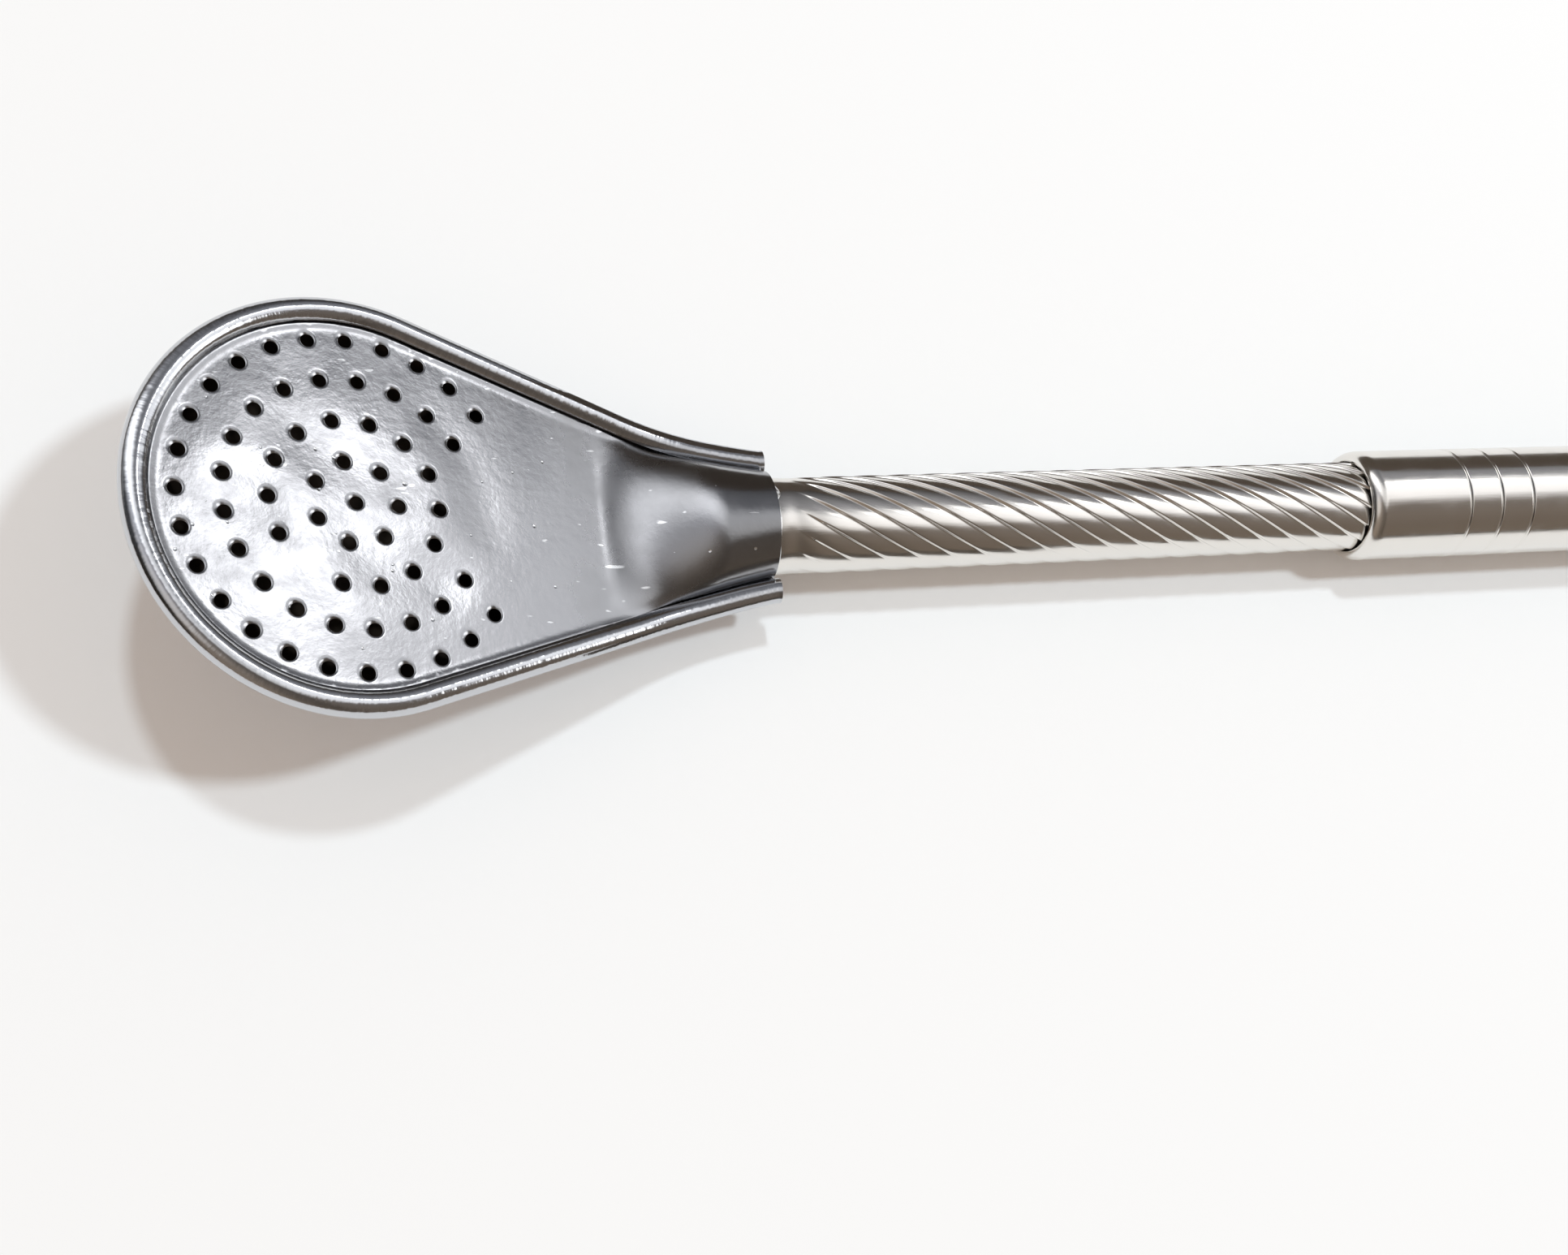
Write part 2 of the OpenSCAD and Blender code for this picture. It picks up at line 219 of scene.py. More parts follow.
def grid_faces(rows, cols, wrap_rows=False, wrap_cols=False, flip=False):
    """Quads of a grid of points that is numbered row by row; a wrapped way closes on itself."""
    i = np.arange(rows if wrap_rows else rows - 1)[:, None]
    j = np.arange(cols if wrap_cols else cols - 1)[None, :]
    i2, j2 = (i + 1) % rows, (j + 1) % cols
    quads = np.stack([i * cols + j, i * cols + j2, i2 * cols + j2, i2 * cols + j], -1).reshape(-1, 4)
    return quads[:, ::-1] if flip else quads


def ringed(x, phi, across, up):
    """Points (x, across cos phi, up sin phi) round the stem's axis."""
    return np.stack(np.broadcast_arrays(x, across * np.cos(phi), up * np.sin(phi)), -1)


def closed_round(points, flip=True):
    """Surface of a grid of points whose rows are rings and whose last row meets the first."""
    return points.reshape(-1, 3), grid_faces(*points.shape[:2], wrap_rows=True, wrap_cols=True, flip=flip)


def make_piece(name, surfaces, materials, along=None, wall=0.0, sharp=38):
    """One object from (points, faces) surfaces that meet edge to edge, with a wall behind them if asked.

    along is a point attribute in millimetres for patterns that follow the surface.
    """
    points = np.concatenate([s[0] for s in surfaces])
    starts = np.cumsum([0] + [len(s[0]) for s in surfaces[:-1]])
    faces = [f for s, start in zip(surfaces, starts) for f in (np.asarray(s[1]) + start).tolist()]
    mesh = bpy.data.meshes.new(name)
    mesh.from_pydata(to_row(points).tolist(), [], faces)
    if along is not None:
        layer = mesh.attributes.new("along", "FLOAT_VECTOR", "POINT")
        layer.data.foreach_set("vector", np.asarray(along, np.float32).ravel())
    work = bmesh.new()
    work.from_mesh(mesh)
    bmesh.ops.remove_doubles(work, verts=work.verts, dist=2e-6)
    work.to_mesh(mesh)
    work.free()
    for material in materials:
        mesh.materials.append(material)
    piece = bpy.data.objects.new(name, mesh)
    bpy.context.scene.collection.objects.link(piece)
    if wall:
        solidify = piece.modifiers.new("wall", "SOLIDIFY")
        solidify.thickness = wall * MM
        solidify.offset = -1
        solidify.material_offset = len(materials) - 1
        whole = bpy.data.meshes.new_from_object(piece.evaluated_get(bpy.context.evaluated_depsgraph_get()))
        piece.modifiers.clear()
        piece.data = whole
        bpy.data.meshes.remove(mesh)
        whole.name = name
    piece.data.shade_smooth()
    piece.data.set_sharp_from_angle(angle=np.radians(sharp))
    return piece


# Points of the flat sheet: round a hole, and the lattice between the rim's rows and the holes' rings
HOLE_SIDES = 24
FILL_STEP = 0.5
FILL_INSET = RIM_W + 1.5
FILL_CLEAR = 0.12
FILL_JITTER = 0.15
JOIN_CLEAR = 0.15


def hole_distance(points, holes):
    """Distance from each point to the middle of the nearest hole."""
    return np.hypot(*(points[:, None] - holes[None]).transpose(2, 0, 1)).min(1)


def fill_flat(loop, holes, rings, fill):
    """Triangles of a flat region in (u, y) from its outline, its punched holes and fill points.

    Rings of points stand round each hole. Returns the points and the triangles, which face +n on the head.
    """
    turn = np.linspace(0, 2 * np.pi, HOLE_SIDES, endpoint=False)
    circle = np.stack([np.cos(turn), np.sin(turn)], -1)
    near = holes[:, None, None] + np.asarray(rings)[:, None, None] * circle
    clear = hole_distance(fill, holes) > rings[-1] + FILL_CLEAR
    points = np.concatenate([loop, near.reshape(-1, 2), fill[clear]])
    n = len(loop)
    edges = [(i, (i + 1) % n) for i in range(n)]
    for h in range(len(holes)):
        first = n + h * len(rings) * HOLE_SIDES
        edges += [(first + i, first + (i + 1) % HOLE_SIDES) for i in range(HOLE_SIDES)]
    flat = delaunay_2d_cdt([Vector(p) for p in points], edges, [], 1, 1e-5)
    points, faces = np.array([tuple(p) for p in flat[0]]), np.array(flat[2])
    # The middle of a triangle over a hole lies within its first ring, and one beside it lies outside
    solid = hole_distance(points[faces].mean(1), holes) > rings[0] * 0.98
    return points, faces[solid][:, ::-1]


def square_fill(step, inset):
    """Fill points on a square lattice inside the outline by that inset, jittered so that no row shows."""
    along = np.arange(FLAT_FROM + step, HEAD_LEN, step)
    across = np.arange(-HEAD_R, HEAD_R, step)
    points = np.stack(np.meshgrid(along, across, indexing="ij"), -1).reshape(-1, 2)
    points += rng.uniform(-FILL_JITTER, FILL_JITTER, points.shape) * step
    inside = (edge_distance(points[:, 0], points[:, 1]) > inset) & (points[:, 0] > FLAT_FROM + 0.4 * step)
    return points[inside]


def punched_places():
    """Centres (u, y) of the punched holes: one near the middle of the round end and rings about it."""
    middle = ROUND_U - RING_BACK
    places = [(middle, 0.0)]
    for k in range(1, RING_COUNT + 1):
        count = RING_PLACES * k
        for p in range(-(count // 2), -(-count // 2)):
            a = 2 * np.pi / count * (p + (k % 2) / 2)
            if (k <= 2 or abs(a) <= PUNCHED) and (k, p) != MISSED:
                places.append((middle + k * RING_PITCH * np.cos(a), k * RING_PITCH * np.sin(a)))
    return np.array(places)


# Stations along the outline, from the upper ear round the tip to the lower ear

def outline_stations():
    """Places (u, y) on the outline and the unit way in from each. Both ends stand past the neck mouth."""
    u = np.concatenate([[-EAR_PAST], np.linspace(0, TANGENT_U, 64)])
    m = flank_slope(np.maximum(u, 0)) * ease(u / NECK_STRAIGHT)
    way = np.stack([m, -np.ones_like(m)], -1) / np.hypot(1, m)[:, None]
    upper = np.stack([u, flank_y(np.maximum(u, 0))], -1)
    a = np.linspace(np.pi / 2 + FLANK, -np.pi / 2 - FLANK, 181)[1:-1]
    arc = np.stack([np.cos(a), np.sin(a)], -1)
    tip = [ROUND_U, 0] + HEAD_R * arc
    mirror = np.array([1, -1])
    places = np.concatenate([upper, tip, upper[::-1] * mirror])
    ways = np.concatenate([way, -arc, way[::-1] * mirror])
    return places, ways


STATIONS, WAYS = outline_stations()


# Front plate

PLATE_HOLES = punched_places()
THROAT_R = HOLE_R - 0.05
ROLL_REACH = 0.36
ROLL_DEPTH = rng.uniform(0.08, 0.11, len(PLATE_HOLES))
ROLL_WIDTH = rng.uniform(0.28, ROLL_REACH, len(PLATE_HOLES))
ROLL_LEAST = 0.3
ROLL_TURN = np.radians(49) + rng.normal(0, 0.25, len(PLATE_HOLES))
# Length, turn and phase of each wave, and its height for each millimetre of length
WAVES = rng.uniform([4.0, 0, 0], [11.0, np.pi, 2 * np.pi], (9, 3))
WAVE_HEIGHT = 0.0014
# From this far off the middle of the round end, and over this width, the waves calm down to that share
CALM_FROM, CALM_OVER, CALM_SHARE = 7, 4, 0.04
CURL_RISE = 0.07
CURL_WIDTH = 0.5
CURL_UNDER = 0.35


def plate_relief(u, y):
    """Height of the worked sheet over a true flat.

    Slow waves are a sum of sines that calms outside the holes. The edge curls up to the rim as a parabola and
    dips under it. At each hole the sheet rolls in as (1 - t)^2 of the share t of the roll's width from the
    hole's edge, most where the punch came down first and down to the share ROLL_LEAST across from there.
    """
    length, turn, phase = WAVES.T[:, :, None]
    wave = np.sin(2 * np.pi * (u * np.cos(turn) + y * np.sin(turn)) / length + phase)
    punched = 1 - ease((np.hypot(u - ROUND_U, y) - CALM_FROM) / CALM_OVER)
    waves = (WAVE_HEIGHT * length * wave).sum(0) * mix(CALM_SHARE, 1, punched)
    inside = edge_distance(u, y) - RIM_W
    curl = CURL_RISE * np.clip(1 - inside / CURL_WIDTH, 0, 1) ** 2 * ease(1 + inside / CURL_UNDER)
    du = u[None] - PLATE_HOLES[:, :1]
    dy = y[None] - PLATE_HOLES[:, 1:]
    side = mix(ROLL_LEAST, 1, np.cos((np.arctan2(dy, du) - ROLL_TURN[:, None]) / 2) ** 4)
    t = np.clip((np.hypot(du, dy) - THROAT_R) / (ROLL_WIDTH[:, None] * side), 0, 1)
    roll = (ROLL_DEPTH[:, None] * side * (1 - t) ** 2).sum(0)
    return waves + curl - roll


def filter_plate(materials):
    """Perforated plate: a half tube at the neck that spreads into a flat sheet, with its edge in the rim."""
    foot_in = EAR_HALF - np.sqrt(NECK_OUT_R**2 - PLATE_HALF**2)
    straight = np.linspace(0, NECK_STRAIGHT, 12, endpoint=False)
    u = np.concatenate([straight, np.linspace(NECK_STRAIGHT, FLAT_FROM, 44)])
    t = np.linspace(0, np.pi, 81)
    rho = np.cos(t)
    edge = flank_y(u) - BEAD_R
    foot = flank_y(u) - foot_in
    flange = np.linspace(1, 0, 4, endpoint=False)[None, :]
    side = foot[:, None] + (edge - foot)[:, None] * flange
    y = np.concatenate([side, foot[:, None] * rho[None], -side[:, ::-1]], 1)
    share = np.concatenate([np.ones(4), np.abs(rho), np.ones(4)])
    uu = np.repeat(u[:, None], y.shape[1], 1)
    n = dome_height(uu, share[None], NECK_OUT_R, PLATE_HALF, PLATE_HALF, True)
    n = n + plate_relief(uu.ravel(), y.ravel()).reshape(uu.shape) * (1 - neck_share(uu))
    neck = on_head(uu, y, n).reshape(-1, 3), grid_faces(*uu.shape, flip=True)
    tip = STATIONS[:, 0] > FLAT_FROM + JOIN_CLEAR
    loop = np.concatenate([
        np.stack([np.full(y.shape[1], FLAT_FROM), y[-1, ::-1]], -1),
        STATIONS[tip] + WAYS[tip] * BEAD_R])
    # Rows of points lie close where the sheet rolls into a hole and where it curls at the rim
    rings = THROAT_R + ROLL_REACH * np.array([0, 0.14, 0.3, 0.48, 0.7, 1.0, 1.4])
    edge_in = RIM_W + np.array([-0.42, -0.32, -0.22, -0.12, 0, 0.15, 0.35, 0.55, 0.75, 0.95, 1.15, 1.35])
    edge_rows = (STATIONS[tip] + WAYS[tip] * edge_in[:, None, None]).reshape(-1, 2)
    fill = np.concatenate([edge_rows, square_fill(FILL_STEP, FILL_INSET)])
    points, faces = fill_flat(loop, PLATE_HOLES, rings, fill)
    height = PLATE_HALF + plate_relief(points[:, 0], points[:, 1])
    flat = on_head(points[:, 0], points[:, 1], height), faces
    return make_piece("filter_plate", [neck, flat], materials, wall=SHEET)


# Back bowl with its rolled rim

def filter_bowl(materials):
    """Stamped bowl: the rim is a circle of BEAD_R rolled round the outline from its lip to the shelf.

    Behind the shelf the neck's half tube fades into the bowl, which is a dome over each half width.
    """
    a = np.linspace(LIP_ANGLE, -np.pi, 44)
    d = BEAD_R + BEAD_R * np.sin(a)
    n = BEAD_MID + BEAD_R * np.cos(a)
    u = STATIONS[:, :1] + WAYS[:, :1] * d
    y = STATIONS[:, 1:] + WAYS[:, 1:] * d
    bead = on_head(u, y, n[None]).reshape(-1, 3), grid_faces(*u.shape)
    step = np.hypot(*np.diff(STATIONS, axis=0).T)
    length = np.concatenate([[0], np.cumsum(step)])
    along = np.stack(np.broadcast_arrays(length[:, None], (BEAD_R * a)[None], 0.0), -1).reshape(-1, 3)

    # Rows of the bowl run from the upper flank to its mirror image, from the neck mouth to the tip
    foot_in = EAR_HALF - np.sqrt(NECK_OUT_R**2 - SHELF_BOTTOM**2)
    rows = slice(1, len(STATIONS) // 2 + 1)
    shelf = STATIONS[rows] + WAYS[rows] * BEAD_R
    foot = STATIONS[rows] + WAYS[rows] * foot_in
    t = np.linspace(0, np.pi, 61)
    uu = np.concatenate([shelf[:, :1], np.repeat(foot[:, :1], len(t), 1), shelf[:, :1]], 1)
    yy = np.concatenate([shelf[:, 1:], foot[:, 1:] * np.cos(t), -shelf[:, 1:]], 1)
    across = np.concatenate([[1.0], np.abs(np.cos(t)), [1.0]])
    from_middle = np.minimum(np.hypot(uu - ROUND_U, yy) / (HEAD_R - foot_in), 1)
    rho = np.where(uu > ROUND_U, from_middle, across[None])
    under = dome_height(uu, rho, NECK_OUT_R, SHELF_BOTTOM, BOWL_DEPTH, False)
    bowl = on_head(uu, yy, -under).reshape(-1, 3), grid_faces(*uu.shape)
    plain = np.zeros((uu.size, 3))
    plain[:, 1] = -BEAD_R * np.pi
    along = np.concatenate([along, plain])
    return make_piece("filter_bowl", [bead, bowl], materials, along=along, wall=SHEET)


# Tubes

def twisted_stem(materials):
    """Stem: a slight waist past the neck, then lobes that wind round it and stand out of the waist.

    Over the share t of a lobe the radius rises by FLUTE_DEPTH as 1 - (1 - t)^1.7 and falls back in an eased
    step of FLUTE_STEP. The columns of points follow the twist, so the steps stay sharp.
    """
    step_at = 1 - FLUTE_STEP
    rising = np.linspace(0, step_at, 12, endpoint=False)
    falling = np.linspace(step_at, 1, 8, endpoint=False)
    lobe = np.concatenate([rising, falling])
    below = np.concatenate([(1 - rising / step_at) ** 1.7, ease((falling - step_at) / FLUTE_STEP)])
    dip = np.tile(FLUTE_DEPTH * below, FLUTES)
    turn = ((np.arange(FLUTES)[:, None] + lobe[None]) / FLUTES).ravel()
    # A few stations on the plain stretches and many on the twist
    x = np.concatenate([[STEM_FROM, -0.3, 0.1], np.linspace(0.25, TWIST_END, 260), [TWIST_TO + 4, STEM_TO]])
    ends = 1 - ease((x - TWIST_TO) / FLUTE_FADE_OUT)
    fade = ease((x - FLUTE_BEGIN) / FLUTE_FADE_IN) * ends
    waist = WAIST * ease((x - WAIST_FROM) / WAIST_OVER) * ends
    phi = 2 * np.pi * (turn[None] + np.clip(x, 0, TWIST_END)[:, None] / FLUTE_LEAD)
    r = STEM_R - waist[:, None] - fade[:, None] * (dip - CRESTS_OUT)[None]
    outside = ringed(x[:, None], phi, r, r)
    bore = ringed(np.array([[STEM_TO], [STEM_FROM]]), phi[[-1, 0]], STEM_BORE_R, STEM_BORE_R)
    return make_piece("twisted_stem", [closed_round(np.concatenate([outside, bore]))], materials, sharp=50)


def solder_bead(materials):
    """Fillet of solder: a hollow arc from the neck's end to the stem, whose reach varies round the neck."""
    phi = np.linspace(0, 2 * np.pi, 180, endpoint=False)
    reach = SOLDER_REACH + SOLDER_RIPPLE * (np.sin(3 * phi + 1) + np.sin(7 * phi + 2))
    # Blobs swell the fillet as bells over the angle
    blobs = np.radians([71, 64, -14, 196, 250, 318])
    swell = np.array([0.26, 0.2, 0.3, 0.24, 0.2, 0.26])
    gap = (phi[:, None] - blobs + np.pi) % (2 * np.pi) - np.pi
    reach = np.minimum(reach + (swell * np.exp(-((gap / BLOB_WIDTH) ** 2))).sum(1), SOLDER_LEN - 0.02)
    width = NECK_OUT_R - SOLDER_UNDER - SOLDER_IN_R
    t = np.linspace(0, np.pi / 2, 9)[:, None]
    bulge = BLOB_BULGE * (reach - SOLDER_REACH) * np.sin(2 * t)
    x = np.concatenate([reach * (1 - np.cos(t)) + bulge, 0 * phi[None]])
    r = np.concatenate([width * (1 - np.sin(t)) + bulge, 0 * phi[None]])
    r = np.minimum(SOLDER_IN_R + r, NECK_OUT_R)
    points = ringed(np.maximum(x, 0), phi, r, r)
    return make_piece("solder_bead", [closed_round(points, flip=False)], materials, sharp=60)


def grip_sleeve(materials):
    """Grip tube: a round mouth, three turned grooves shaped as a raised cosine, and a plain bore."""
    depth = GRIP_R - GRIP_IN_R - LIP_LAND
    t = np.linspace(0, np.pi / 2, 20)
    mouth_x, mouth_r = LIP_LEN * (1 - np.cos(t)), GRIP_R - depth * (1 - np.sin(t))
    s = np.concatenate([[-1.3], np.linspace(-1, 1, 13), [1.3]])
    groove_x = (GROOVES[:, None] + GROOVE_W / 2 * s).ravel()
    groove = GROOVE_DEPTH * (0.5 + 0.5 * np.cos(np.pi * np.clip(s, -1, 1)))
    groove_r = np.tile(GRIP_R - groove, len(GROOVES))
    end = np.linspace(0, np.pi / 2, 5)
    plain_x = np.linspace(groove_x[-1] + 4, GRIP_TO - 0.2, 12)
    # From the bore's lower end over the mouth, the grooves and the plain stretch to the bore's upper end
    x = np.concatenate([
        [GRIP_FROM + 0.05], GRIP_FROM + mouth_x, [GRIP_FROM + LIP_LEN + 0.1, GRIP_FROM + 4], groove_x,
        plain_x, GRIP_TO - END_ROUND * (1 - np.sin(end)), [GRIP_TO]])
    r = np.concatenate([
        [GRIP_IN_R], mouth_r, [GRIP_R, GRIP_R], groove_r,
        0 * plain_x + GRIP_R, GRIP_R - END_ROUND * (1 - np.cos(end)), [GRIP_IN_R]])[:, None]
    phi = np.linspace(0, 2 * np.pi, 192, endpoint=False)
    return make_piece("grip_sleeve", [closed_round(ringed(x[:, None], phi, r, r))], materials, sharp=45)


def lip_piece(materials):
    """Mouthpiece: ovals along the axis that flatten by an eased curve to round lips, with a slot inside."""
    length = MOUTH_TO - GRIP_TO
    body = np.linspace(0.15, length - MOUTH_ROUND, 40)
    over = np.linspace(0, np.pi / 2, 9)[1:]
    z = np.concatenate([[0.0], body, length - MOUTH_ROUND * (1 - np.sin(over))])
    inset = np.concatenate([[END_ROUND], 0 * body, MOUTH_ROUND * (1 - np.cos(over))])
    t = ease(z / length)
    half_w = mix(GRIP_R, MOUTH_HALF_W, t) - inset
    half_t = mix(GRIP_R, MOUTH_HALF_T, t) - inset
    # The slot runs back from inside the lips and narrows to a round hole before the shank's bore
    back = np.linspace(length - 0.25, 0.5, 24)
    share = ease((back + 1) / (length + 2))
    slot_r = SHANK_R - MOUTH_WALL
    slot_w = mix(slot_r, MOUTH_HALF_W - MOUTH_WALL, share)
    slot_t = mix(slot_r, MOUTH_HALF_T - MOUTH_WALL, share)
    bore_r = SHANK_R - SHANK_WALL
    zz = np.concatenate([[-SHANK_LEN, 0], z, back, [0.0, -SHANK_LEN]])
    ww = np.concatenate([[SHANK_R, SHANK_R], half_w, slot_w, [bore_r, bore_r]])
    tt = np.concatenate([[SHANK_R, SHANK_R], half_t, slot_t, [bore_r, bore_r]])
    phi = np.linspace(0, 2 * np.pi, 144, endpoint=False)
    points = ringed(GRIP_TO + zz[:, None], phi, ww[:, None], tt[:, None])
    return make_piece("lip_piece", [closed_round(points)], materials, sharp=50)


# Nodes

def srgb(code):
    """Linear colour of an sRGB hex value."""
    c = np.array([int(code[i:i + 2], 16) for i in (1, 3, 5)]) / 255
    linear = np.where(c <= 0.04045, c / 12.92, ((c + 0.055) / 1.055) ** 2.4)
    return (*linear.tolist(), 1.0)


def add(tree, kind, inputs=None, **settings):
    """Adds a node: settings are its properties, and each input is linked to a socket or set to a value."""
    node = tree.nodes.new(kind)
    for key, value in settings.items():
        setattr(node, key, value)
    for key, value in (inputs or {}).items():
        if isinstance(value, bpy.types.NodeSocket):
            tree.links.new(value, node.inputs[key])
        else:
            node.inputs[key].default_value = value
    return node


def per_metre(size_mm):
    """Texture scale, in cycles per metre of Object coordinates, of a pattern of that size."""
    return 1000.0 / size_mm


def noise(tree, place, scale, detail, roughness=0.5):
    """Value of a noise texture at a place."""
    return add(tree, "ShaderNodeTexNoise", {
        "Vector": place, "Scale": scale, "Detail": detail, "Roughness": roughness}).outputs["Fac"]


def remap(tree, value, before, after=(0.0, 1.0), smooth=False):
    """Value carried from the range before to the range after and held at its ends, straight or smooth."""
    return add(tree, "ShaderNodeMapRange", {
        "Value": value, "From Min": before[0], "From Max": before[1], "To Min": after[0], "To Max": after[1]},
        interpolation_type="SMOOTHSTEP" if smooth else "LINEAR").outputs["Result"]


def reckon(tree, operation, *values, clamp=False):
    """Result of one step of arithmetic on sockets and numbers."""
    node = add(tree, "ShaderNodeMath", dict(enumerate(values)), operation=operation, use_clamp=clamp)
    return node.outputs["Value"]


def distance_from(tree, value, middle):
    """How far a value lies from a middle, on either side."""
    return reckon(tree, "ABSOLUTE", reckon(tree, "SUBTRACT", value, middle))


def blend(tree, share, a, b, kind="MIX"):
    """Colour between a and b, or their sum or product."""
    node = add(tree, "ShaderNodeMix", {"Factor": share, "A": a, "B": b}, data_type="RGBA", blend_type=kind)
    return node.outputs["Result"]


def ramp(tree, value, stops):
    """Colour at a value from 0 to 1, blended straight between stops of (place, colour)."""
    node = add(tree, "ShaderNodeValToRGB", {"Fac": value})
    elements = node.color_ramp.elements
    elements[0].position, elements[0].color = stops[0]
    elements[1].position, elements[1].color = stops[-1]
    for position, colour in stops[1:-1]:
        elements.new(position).color = colour
    return node.outputs["Color"]


def stretched(tree, place, scale, turn=0.0):
    """Place turned about Z and scaled along each axis, so that a texture there is drawn out."""
    return add(tree, "ShaderNodeMapping", {
        "Vector": place, "Rotation": (0, 0, turn), "Scale": scale}).outputs["Vector"]


def bumped(tree, height, strength, depth):
    """Normal of a surface raised by a height of that depth in millimetres."""
    return add(tree, "ShaderNodeBump", {
        "Height": height, "Strength": strength, "Distance": depth * MM}).outputs["Normal"]


def either(tree, share, first, second):
    """Shader that goes from the first to the second as the share goes from 0 to 1."""
    return add(tree, "ShaderNodeMixShader", {"Fac": share, 1: first, 2: second}).outputs["Shader"]


def new_material(name, colour, metallic=1.0):
    """Plain Principled material, with its tree, its shader's inputs and Object coordinates."""
    material = bpy.data.materials.new(name)
    material.use_nodes = True
    tree = material.node_tree
    inputs = tree.nodes["Principled BSDF"].inputs
    inputs["Base Color"].default_value = srgb(colour)
    inputs["Metallic"].default_value = metallic
    place = add(tree, "ShaderNodeTexCoord").outputs["Object"]
    return material, tree, inputs, place


# Materials

# Most of a noise lies between these values
CLOUDED = (0.3, 0.7)
# How far the pressed funnel's middle lies from the neck mouth, and where its dull band begins and is full
FUNNEL_BACK = 9.0
FUNNEL_FADE = np.array([6.5, 3.0])


def tumbled_stainless_sheet():
    """Stainless sheet, stamped and tumbled: cloudy satin, fine peening, dented specks and hair scratches with
    painted glints.
    """
    steel = "#a0a1a4"
    material, tree, inputs, place = new_material("tumbled_stainless_sheet", steel)
    cloud = noise(tree, place, per_metre(3.2), detail=5.0, roughness=0.62)
    satin = remap(tree, cloud, CLOUDED, (0.13, 0.25))
    # Duller over the 13 mm where the funnel was pressed out of the flat
    x = add(tree, "ShaderNodeSeparateXYZ", {"Vector": place}).outputs["X"]
    from_funnel = distance_from(tree, x, (NECK_X - FUNNEL_BACK) * MM)
    pressed = remap(tree, from_funnel, FUNNEL_FADE * MM, (0.0, 0.1), smooth=True)
    tree.links.new(reckon(tree, "ADD", satin, pressed), inputs["Roughness"])
    # Peening of the tumbling stones, about 0.5 mm, drawn coarser than the real grain so that it shows
    peening = noise(tree, place, per_metre(0.55), detail=3.0, roughness=0.6)
    peened = bumped(tree, peening, strength=0.4, depth=0.02)
    # Specks: the middle of some cells of about 1 mm, dented, and painted bright as glints
    cell = add(tree, "ShaderNodeTexVoronoi", {"Vector": place, "Scale": per_metre(1.0)}).outputs
    chance = add(tree, "ShaderNodeSeparateColor", {"Color": cell["Color"]}).outputs["Red"]
    size = remap(tree, chance, (0.56, 1.0), (0.0, 0.16))
    speck_dent_and_glint = reckon(tree, "SUBTRACT", size, cell["Distance"], clamp=True)
    # Hair scratches: thin crests of a noise that is drawn out five times along one way
    hair = noise(tree, stretched(tree, place, (0.2, 1.0, 1.0), turn=0.9), per_metre(0.45), detail=1.0)
    scratch_glint = remap(tree, hair, (0.74, 0.8))
    # Painted glints: a speck is painted near-white from a thirtieth of a cell inside its edge, and a hair
    # scratch along its crest
    painted_glints = reckon(tree, "MULTIPLY_ADD", speck_dent_and_glint, 30.0, scratch_glint, clamp=True)
    tree.links.new(blend(tree, painted_glints, srgb(steel), srgb("#eef0f2")), inputs["Base Color"])
    dented = add(tree, "ShaderNodeBump", {
        "Height": speck_dent_and_glint, "Strength": 1.0, "Distance": 0.3 * MM, "Normal": peened}, invert=True)
    tree.links.new(dented.outputs["Normal"], inputs["Normal"])
    return material


def polished_stainless_rim():
    """Stainless rim, rolled and buffed: bright, with chatter marks of the rolling wheel on its crest."""
    material, tree, inputs, place = new_material("polished_stainless_rim", "#c9cbcf")
    smear = noise(tree, place, per_metre(2.4), detail=4.0, roughness=0.6)
    tree.links.new(remap(tree, smear, CLOUDED, (0.09, 0.19)), inputs["Roughness"])
    along = add(tree, "ShaderNodeAttribute", attribute_name="along").outputs["Vector"]
    chatter = noise(tree, stretched(tree, along, (1.9, 0.6, 1.0)), 1.0, detail=2.0)
    tree.links.new(bumped(tree, chatter, strength=0.35, depth=0.08), inputs["Normal"])
    return material


def shaded_inside_steel():
    """Inside of the head: the same steel, dulled and painted a mottled dark brown as painted shade for the
    dark inside of the closed head.
    """
    material, tree, inputs, place = new_material("shaded_inside_steel", "#4a4038", 0.6)
    # Painted shade: mottled between two dark browns, so that the holes, their walls and the inner faces read
    # dark
    shade_mottle = noise(tree, place, per_metre(2.0), detail=4.0)
    tree.links.new(blend(tree, shade_mottle, srgb("#2c2622"), srgb("#64564a")), inputs["Base Color"])
    inputs["Roughness"].default_value = 0.5
    return material


def polished_stainless_tube():
    """Drawn stainless tube, buffed: bright and slightly warm, with cloudy wear and faint draw lines."""
    material, tree, inputs, place = new_material("polished_stainless_tube", "#e8e5e0")
    smear = noise(tree, place, per_metre(2.0), detail=5.0, roughness=0.6)
    tree.links.new(remap(tree, smear, CLOUDED, (0.13, 0.22)), inputs["Roughness"])
    drawn_out = stretched(tree, place, (0.06, 1.0, 1.0))
    lines = noise(tree, drawn_out, per_metre(0.3), detail=3.0, roughness=0.6)
    tree.links.new(bumped(tree, lines, strength=0.25, depth=0.02), inputs["Normal"])
    return material


def soft_solder():
    """Tin solder, melted and left as it set: dull bright with a fine frosted skin."""
    material, tree, inputs, place = new_material("soft_solder", "#d6d8da")
    skin = noise(tree, place, per_metre(0.35), detail=3.0)
    tree.links.new(remap(tree, skin, CLOUDED, (0.18, 0.34)), inputs["Roughness"])
    tree.links.new(bumped(tree, skin, strength=0.4, depth=0.03), inputs["Normal"])
    return material


